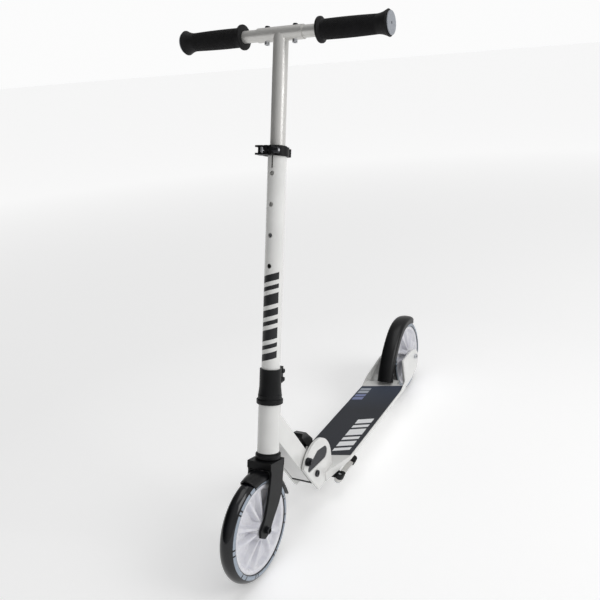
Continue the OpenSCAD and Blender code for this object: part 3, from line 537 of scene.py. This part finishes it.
# %% The tyre
tyre_low, tyre_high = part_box("front_tyre")
TYRE_R = (tyre_high[2] - tyre_low[2]) / 2
TYRE_HALF = (tyre_high[0] - tyre_low[0]) / 2
CROWN_R = TYRE_R - TYRE_HALF
FOOT_STEP = 0.9 * MM


def tyre_half_width(radius):
    """The tyre's flank: a half circle about the crown's middle, and nearly upright inside it."""
    round_part = np.sqrt(np.clip(TYRE_HALF ** 2 - (np.maximum(radius, CROWN_R) - CROWN_R) ** 2, 0, None))
    foot = smooth_step(radius, CORE_R, CROWN_R + 1 * MM)
    return np.where(radius < CROWN_R, TYRE_HALF - FOOT_STEP * (1 - foot), round_part)


def tyre_mesh(name, axle):
    """A profile of radius and width, with a thin step where it meets the core, turned once round."""
    up = CORE_R + (CROWN_R - CORE_R) * np.linspace(0, 1, 5)
    bend = np.linspace(0, np.pi / 2, 22)
    radius = np.concatenate([[CORE_R], up, CROWN_R + TYRE_HALF * np.sin(bend[1:])])
    half = np.concatenate([[RIM_HALF - 0.6 * MM], tyre_half_width(up), TYRE_HALF * np.cos(bend[1:])])
    profile_r = np.concatenate([radius, radius[-2::-1]])
    profile_x = np.concatenate([half, -half[-2::-1]])
    angle = np.linspace(0, 2 * np.pi, 241)[:-1]
    r, a = np.meshgrid(profile_r, angle, indexing="ij")
    x = np.broadcast_to(profile_x[:, None], r.shape)
    points = np.stack([x, r * np.sin(a), r * np.cos(a)], -1) + axle
    mesh = mesh_from_grid(name, points, close_rows=True, close_columns=True)
    outward(mesh)
    return mesh


# %% The printed band on the tyre
BAND_LIFT = 0.06 * MM


def band_patch(axle, side, start, sweep, inner, outer):
    """A thin printed patch that follows the tyre's flank between two radii and two angles."""
    radius = np.linspace(inner, outer, 6)
    angle = np.radians(np.linspace(start, start + sweep, max(3, int(sweep / 2) + 1)))
    r, a = np.meshgrid(radius, angle, indexing="ij")
    x = side * (tyre_half_width(r) + BAND_LIFT)
    return np.stack([x, r * np.sin(a), r * np.cos(a)], -1) + axle


def join_meshes(name, meshes):
    """Puts several meshes into one."""
    work = bmesh.new()
    for mesh in meshes:
        work.from_mesh(mesh)
        bpy.data.meshes.remove(mesh)
    joined = bpy.data.meshes.new(name)
    work.to_mesh(joined)
    work.free()
    return joined


# Each third of the band: start and sweep in degrees
BAND_BLOCKS = ((0, 34), (36, 5), (43, 37), (82, 3), (87, 20), (109, 9))
BAND_INNER = CORE_R + 1.2 * MM
BAND_OUTER = CORE_R + 8.6 * MM
for end, axle in (("front", front_axle), ("rear", rear_axle)):
    body = end + "_wheel"
    place_piece(end + "_wheel_core", core_mesh(end + "_wheel_core", axle), finishes["wheel_core"],
                body, (end + "_core",), sharp=50)
    place_piece(end + "_wheel_tyre", tyre_mesh(end + "_wheel_tyre", axle), finishes["tyre"],
                body, (end + "_tyre",), sharp=50)
    patches = [mesh_from_grid("patch", band_patch(axle, side, third + start, sweep,
                                                  BAND_INNER, BAND_OUTER))
               for side in (1, -1) for third in (0, 120, 240) for start, sweep in BAND_BLOCKS]
    place_piece(end + "_tyre_print", join_meshes(end + "_tyre_print", patches), silver_ink,
                body, ())
print("core radius", round(CORE_R / MM, 1), "mm, tyre radius", round(TYRE_R / MM, 1), "mm")

# %% [markdown]
# ## Front mudguard
# It is one nylon moulding under the fork's crown: a round visor ahead of the tyre, like a cap's
# peak, and a slim tongue behind. Its middle line is an arc about the axle and then a straighter
# one. A shallow arch is carried along it, narrower towards both ends.


# %% Mudguard surface
guard_points = np.array([v.co for v in frame["nodes"]["front_mudguard"].data.vertices]) - front_axle
guard_up = guard_points @ steer_up
guard_ahead = guard_points @ steer_ahead
over_wheel = np.abs(np.arctan2(guard_ahead, guard_up)) < math.radians(30)
GUARD_R = float(np.hypot(guard_up, guard_ahead)[over_wheel].max())
GUARD_HALF = float(guard_points[:, 0].max())
GUARD_WALL = 2.2 * MM
TAIL_R = 180 * MM
JOIN = math.radians(40)
TAIL_SWEEP = math.radians(22)
VISOR = math.radians(-21)
GUARD_DEPTH = 15 * MM
VISOR_WIDTH = 0.82
TAIL_NARROWING = 0.42


def guard_line(turn):
    """Arc of GUARD_R about the axle up to the join, then an arc of TAIL_R that leaves it smoothly."""
    on_arc = np.minimum(turn, JOIN)
    beyond = np.maximum(turn - JOIN, 0)
    centre_shift = np.where(beyond > 0, TAIL_R - GUARD_R, 0)
    radius = GUARD_R + centre_shift
    ahead = -(radius * np.sin(on_arc + beyond) - centre_shift * math.sin(JOIN))
    up = radius * np.cos(on_arc + beyond) - centre_shift * math.cos(JOIN)
    return ahead, up


def guard_mesh(name):
    """Arch across the line: half width w cos t, depth d (1 - sin(t)^0.9). Its ends are a little bowed."""
    steps = np.linspace(0, 1, 64)
    across = np.linspace(0, np.pi, 41)
    u, t = np.meshgrid(steps, across, indexing="ij")
    start = VISOR + math.radians(4) * (1 - np.sin(t))
    stop = JOIN + TAIL_SWEEP - math.radians(3) * (1 - np.sin(t))
    turn = start + (stop - start) * u
    full = smooth_step(turn, math.radians(-24), math.radians(2))
    slim = smooth_step(turn, math.radians(24), math.radians(58))
    half = (GUARD_HALF - GUARD_WALL / 2) * (VISOR_WIDTH + (1 - VISOR_WIDTH) * full
                                            - TAIL_NARROWING * slim)
    depth = GUARD_DEPTH * (1 + 0.25 * (1 - full) - 0.5 * slim)
    ahead, up = guard_line(turn)
    sunk = depth * (1 - np.sin(t) ** 0.9)
    ahead = ahead + np.sin(turn) * sunk
    up = up - np.cos(turn) * sunk
    points = (front_axle - half[..., None] * np.cos(t)[..., None] * steer_side
              + ahead[..., None] * steer_ahead + up[..., None] * steer_up)
    mesh = mesh_from_grid(name, points)
    outward(mesh)
    return mesh


guard = place_piece("front_mudguard_visor", guard_mesh("front_mudguard_visor"),
                    finish_of["front_mudguard"], "steerer", ("front_mudguard",))
# The wall grows towards the wheel, whichever way the sheet's faces look
middle_face = guard.data.polygons[len(guard.data.polygons) // 2]
facing_out = middle_face.normal.dot(middle_face.center - Vector(front_axle)) > 0
wall = guard.modifiers.new("wall", "SOLIDIFY")
wall.thickness = GUARD_WALL
wall.offset = -1 if facing_out else 1
wall.use_even_offset = True
print("mudguard radius", round(GUARD_R / MM, 1), "mm, width", round(2 * GUARD_HALF / MM, 1), "mm")

# %% [markdown]
# ## Grips
# A grip is a turned profile: a flange by the bar's middle, a body that swells a little in the
# palm, and a flared end. Diamond knurling is pressed into its lower and forward side. The
# radius is the profile plus two crossing families of helical ridges, 3.2 mm apart.


# %% Grip surface
grip_low, grip_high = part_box("grip_left")
GRIP_LEN = grip_high[0] - grip_low[0]
END_R = (grip_high[1] - grip_low[1]) / 2
RIDGE_PITCH = 3.2 * MM
RIDGE_R = 17 * MM
PALM_R = 17.3 * MM
PALM_SWELL = 0.8 * MM
FLARE_LEN = 24 * MM
HANDLE_TUBE_R = 11.1 * MM


def grip_profile(along):
    """Outer radius at a distance from the flange's face."""
    body = PALM_R + PALM_SWELL * np.sin(np.pi * np.clip(along / (GRIP_LEN - FLARE_LEN), 0, 1))
    body -= PALM_SWELL * np.clip(along / GRIP_LEN, 0, 1)
    flange = 1 - smooth_step(along, 4.4 * MM, 7.6 * MM)
    flare = np.clip((along - (GRIP_LEN - FLARE_LEN)) / (21 * MM), 0, 1) ** 1.9
    radius = body + (END_R - body) * np.maximum(flange, flare)
    start = np.sqrt(np.clip(1 - (1 - np.clip(along / (1.6 * MM), 0, 1)) ** 2, 0, 1))
    stop = np.sqrt(np.clip(1 - (1 - np.clip((GRIP_LEN - 1.5 * MM - along) / (2.2 * MM), 0, 1)) ** 2, 0, 1))
    return radius - (1 - start) * 1.6 * MM - (1 - stop) * 2.4 * MM


def knurl(along, angle):
    """Height of the knurling: the higher of two slanted ridge families, faded at its edges."""
    round_count = round(2 * np.pi * RIDGE_R / RIDGE_PITCH)
    turns = angle * round_count
    pitch = 2 * np.pi * along / RIDGE_PITCH * 0.8
    ridges = np.maximum(np.cos(turns + pitch), np.cos(turns - pitch))
    begun = smooth_step(along, 11 * MM, 15 * MM)
    ended = smooth_step(along, GRIP_LEN - 27 * MM, GRIP_LEN - 21 * MM)
    facing = smooth_step(np.cos(angle - math.radians(215)), -0.45, 0.05)
    return begun * (1 - ended) * (0.15 + 0.5 * facing) * MM * (ridges - 1)


def grip_mesh(name, side):
    """Rings along the grip, closed at its ends on the handle tube."""
    along = np.concatenate([np.linspace(0, 8 * MM, 17)[:-1],
                            np.linspace(8 * MM, GRIP_LEN - 22 * MM, 190)[:-1],
                            np.linspace(GRIP_LEN - 22 * MM, GRIP_LEN - 1.5 * MM, 34)])
    angle = np.linspace(0, 2 * np.pi, 217)[:-1]
    s, a = np.meshgrid(along, angle, indexing="ij")
    radius = grip_profile(s) + knurl(s, a)
    bore = np.full_like(radius[:1], HANDLE_TUBE_R)
    radius = np.concatenate([bore, radius, bore])
    s = np.concatenate([s[:1], s, s[-1:]])
    a = np.concatenate([a[:1], a, a[-1:]])
    x = side * (grip_low[0] + s)
    y = bar_middle[1] + radius * np.cos(a)
    z = bar_middle[2] + radius * np.sin(a)
    mesh = mesh_from_grid(name, np.stack([x, y, z], -1), close_rows=True, close_columns=True)
    outward(mesh)
    return mesh


for name, side in (("grip_left", 1), ("grip_right", -1)):
    place_piece("ribbed_" + name, grip_mesh(name, side), finishes["grip_rubber"],
                "handlebar", (name,), sharp=60)
print("grip length", round(GRIP_LEN / MM, 1), "mm")

# %% [markdown]
# ## Springs
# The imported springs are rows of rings. The brake's is wound here as real wire: a ring of points is
# carried along a helix, which turns once for each pitch that it climbs. The button's spring is
# hidden in the column and stays as packed.


# %% Coil springs
def coil_mesh(name, start, axis, length, mean_r, wire_r, turns):
    """A round wire along a helix, with its frame made from the axis and two upright vectors."""
    axis = np.asarray(axis, float) / np.linalg.norm(axis)
    first = np.cross(axis, [0.0, 0.3, 1.0])
    first /= np.linalg.norm(first)
    second = np.cross(axis, first)
    t = np.linspace(0, 1, int(turns * 26) + 1)[:, None]
    phase = 2 * np.pi * turns * t
    out = np.cos(phase) * first + np.sin(phase) * second
    ring = np.linspace(0, 2 * np.pi, 11)[:-1]
    line = np.asarray(start) + axis * length * t + mean_r * out
    points = (line[:, None, :] + wire_r * (np.cos(ring)[None, :, None] * out[:, None, :]
                                           + np.sin(ring)[None, :, None] * axis))
    mesh = mesh_from_grid(name, capped(points), close_columns=True)
    outward(mesh)
    return mesh


brake_low, brake_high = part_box("brake_spring")
brake_mid = (brake_low + brake_high) / 2
brake_len = brake_high[0] - brake_low[0] - 2 * MM
place_piece("brake_return_spring",
            coil_mesh("brake_return_spring", (brake_low[0] + 1 * MM, brake_mid[1], brake_mid[2]), (1, 0, 0),
                      brake_len, 4 * MM, 0.95 * MM, 6.5),
            finishes["bright_steel"], "deck", ("brake_spring",))

# %% [markdown]
# ## Printed graphics
# The column and the tape carry bold printed blocks. They are generic slanted bars here, thin
# films of ink that follow the tube and lie on the tape.


# %% Bars on the steering tube
column_low, column_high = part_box("lower_column")
TUBE_R = (column_high[0] - column_low[0]) / 2
BAR_BOTTOM = 130 * MM
BAR_LENS = (13, 8, 20, 8, 13, 20, 8, 13)
BAR_GAP = 8 * MM
BAR_RISE = 5 * MM
BAR_HALF_ARC = math.radians(56)
PRINT_LIFT = 0.08 * MM


def tube_bar(low, height):
    """A slanted bar printed on the tube: height plus a rise that grows with the angle round it."""
    angle = np.linspace(-BAR_HALF_ARC, BAR_HALF_ARC, 33) + math.radians(10)
    up = np.linspace(0, height, 7)
    h, a = np.meshgrid(up, angle, indexing="ij")
    r = TUBE_R + PRINT_LIFT
    slant = BAR_RISE * (a / BAR_HALF_ARC)
    return on_steering(r * np.sin(a), r * np.cos(a), low + h + slant)


bars = []
low = BAR_BOTTOM
for length in BAR_LENS:
    bars.append(mesh_from_grid("bar", tube_bar(low, length * MM)))
    low += length * MM + BAR_GAP
place_piece("column_graphic", join_meshes("column_graphic", bars), black_ink,
            "steerer", ())

# %% Bars on the grip tape
TAPE_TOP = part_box("grip_tape")[1][2]
# Each row: how far behind the front axle a bar starts, and its length, in mm
DECK_BARS = ((306, 12), (326, 20), (354, 12), (374, 28), (410, 12), (430, 20))
FRONT_MARKS = ((538, 14), (556, 12))
REAR_MARKS = ((574, 14), (592, 10))


def tape_bar(x0, x1, y0, y1, slant):
    """A flat slanted bar: Y is shifted by slant times X."""
    x, y = np.meshgrid(np.linspace(x0, x1, 9), np.linspace(y0, y1, 5), indexing="ij")
    return np.stack([x, y + slant * (x - x0), np.full_like(x, TAPE_TOP + PRINT_LIFT)], -1)


def print_on_tape(name, ink, x0, x1, rows, slant):
    """Prints one bar for each row, all between the same two X values."""
    bars = [mesh_from_grid("bar", tape_bar(x0, x1, front_axle[1] + start * MM,
                                           front_axle[1] + (start + length) * MM, slant))
            for start, length in rows]
    place_piece(name, join_meshes(name, bars), ink, "deck", ())


print_on_tape("tape_graphic", white_ink, 8 * MM, 44 * MM, DECK_BARS, 0.45)
print_on_tape("tape_mark_front", periwinkle_ink, -50 * MM, -24 * MM, FRONT_MARKS, 0.31)
print_on_tape("tape_mark_rear", pale_grey_ink, -50 * MM, -24 * MM, REAR_MARKS, 0.31)
print("column bars", len(bars), "deck bars", len(DECK_BARS))

# %% [markdown]
# ## The studio
# A pale floor, a large soft light overhead and a key light on one side. The air is dimmer on the
# side away from the key light, so that the white paint keeps its edges. The camera stands ahead
# of the scooter and looks down at it.

# %% Floor
bpy.ops.mesh.primitive_plane_add(size=400, location=(0, 0, 0))
floor = bpy.context.object
floor.name = "studio_floor"
paper, paper_tree, paper_shader, paper_place = new_material("pale_floor", "#f7f7f7", 0.9)
paper_shader.inputs["Specular IOR Level"].default_value = 0.1
paper_shader.inputs["Emission Color"].default_value = (1, 1, 1, 1)
# The lamps only reach a few metres, so the paper is also lit from within, more so further out
far = add(paper_tree, "VectorMath", {0: paper_place}, operation="LENGTH").outputs["Value"]
glow = spread(paper_tree, far, 1.0, 5.0, 0.26, 0.55)
paper_tree.links.new(glow, paper_shader.inputs["Emission Strength"])
floor.data.materials.append(paper)


# %% Lights
def soft_light(name, place, aim, size, watts):
    """A square area light at a place, turned towards a point."""
    data = bpy.data.lights.new(name, "AREA")
    data.size = size
    data.energy = watts
    lamp = bpy.data.objects.new(name, data)
    bpy.context.scene.collection.objects.link(lamp)
    lamp.location = place
    aim_line = np.asarray(aim) - np.asarray(place)
    lamp.rotation_euler = Vector(aim_line).to_track_quat("-Z", "Y").to_euler()


BRIGHT_WAY = (0.9, 0.44, 0.0)
AIR_DIM = 0.04
AIR_BRIGHT = 0.55
AIR_SEEN = 0.97
scene = bpy.context.scene
world = scene.world or bpy.data.worlds.new("studio_air")
scene.world = world
world.use_nodes = True
air = world.node_tree
background = air.nodes["Background"]
background.inputs["Color"].default_value = (1, 1, 1, 1)
# The dimmer side gives round tubes a dark edge. To the camera the air is one plain brightness, so
# that only a faint line shows where floor and air meet.
facing = add(air, "VectorMath", {0: add(air, "TexCoord").outputs["Generated"]}, {1: BRIGHT_WAY},
             operation="DOT_PRODUCT").outputs["Value"]
room = spread(air, facing, -0.8, 0.1, AIR_DIM, AIR_BRIGHT)
seen = add(air, "LightPath").outputs["Is Camera Ray"]
level = add(air, "Mix", {"Factor": seen, "A": room}, data_type="FLOAT")
level.inputs["B"].default_value = AIR_SEEN
air.links.new(level.outputs["Result"], background.inputs["Strength"])
soft_light("overhead", (0.3, 0.2, 2.9), (0, 0, 0.3), 2.0, 15)
soft_light("key_side", (2.5, -0.1, 1.9), (0, 0, 0.45), 1.4, 24)
scene.view_settings.view_transform = "Standard"

# %% Camera
SENSOR_MM = 36
LENS_MM = 40.431
LENS_SHIFT = (-1 / 12, -0.02)
CAMERA_PLACE = (0.6516, -1.2403, 0.9087)
HEADING, PITCH, ROLL = (math.radians(v) for v in (26.159, -18.771, -4.57))


def camera_axes(heading, pitch, roll):
    """Forward, right and up of a camera that is turned, tipped and then rolled."""
    forward = np.array([-math.sin(heading) * math.cos(pitch), math.cos(heading) * math.cos(pitch),
                        math.sin(pitch)])
    level = np.array([math.cos(heading), math.sin(heading), 0.0])
    upright = np.cross(level, forward)
    right = level * math.cos(roll) + upright * math.sin(roll)
    up = upright * math.cos(roll) - level * math.sin(roll)
    return forward, right, up


camera_data = bpy.data.cameras.new("studio_camera")
camera = bpy.data.objects.new("studio_camera", camera_data)
scene.collection.objects.link(camera)
camera_data.sensor_width = SENSOR_MM
camera_data.lens = LENS_MM
camera_data.shift_x, camera_data.shift_y = LENS_SHIFT
forward, right, up = camera_axes(HEADING, PITCH, ROLL)
pose = np.eye(4)
pose[:3] = np.column_stack([right, up, -forward, CAMERA_PLACE])
camera.matrix_world = Matrix(pose.tolist())
scene.camera = camera
print("lens", round(camera_data.lens, 2), "mm")
